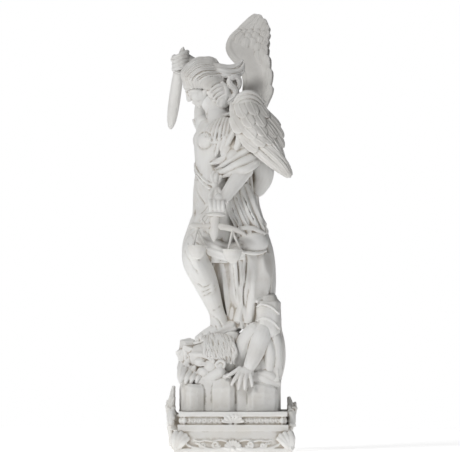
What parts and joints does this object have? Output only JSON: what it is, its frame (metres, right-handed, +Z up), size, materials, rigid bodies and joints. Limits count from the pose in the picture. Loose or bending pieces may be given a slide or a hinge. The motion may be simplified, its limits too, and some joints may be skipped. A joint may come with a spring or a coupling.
{
  "type": "archangel michael statue",
  "caption": "White stone-resin garden statue of a winged archangel with raised sword and scales, treading down a demon on rocks, on a scrolled rectangular plinth.",
  "frame": {"origin": "centre of the plinth's underside", "axes": "+Z up, the angel faces -Y and its left side, with the scales, is towards +X"},
  "size_m": [0.2344, 0.2284, 0.7587],
  "materials": {
    "plinth_resin": "matte stone-filled resin, off-white, greyer in the recesses",
    "figure_resin": "matte stone-filled resin, off-white, warm grey in the recesses",
    "wing_resin": "matte stone-filled resin, off-white",
    "attribute_resin": "matte stone-filled resin, off-white"
  },
  "bodies": {
    "root": {"plinth": "plinth_resin", "figure_group": "figure_resin", "left_wing": "wing_resin", "right_wing": "wing_resin", "sword": "attribute_resin", "scales": "attribute_resin"}
  },
  "joints": []
}
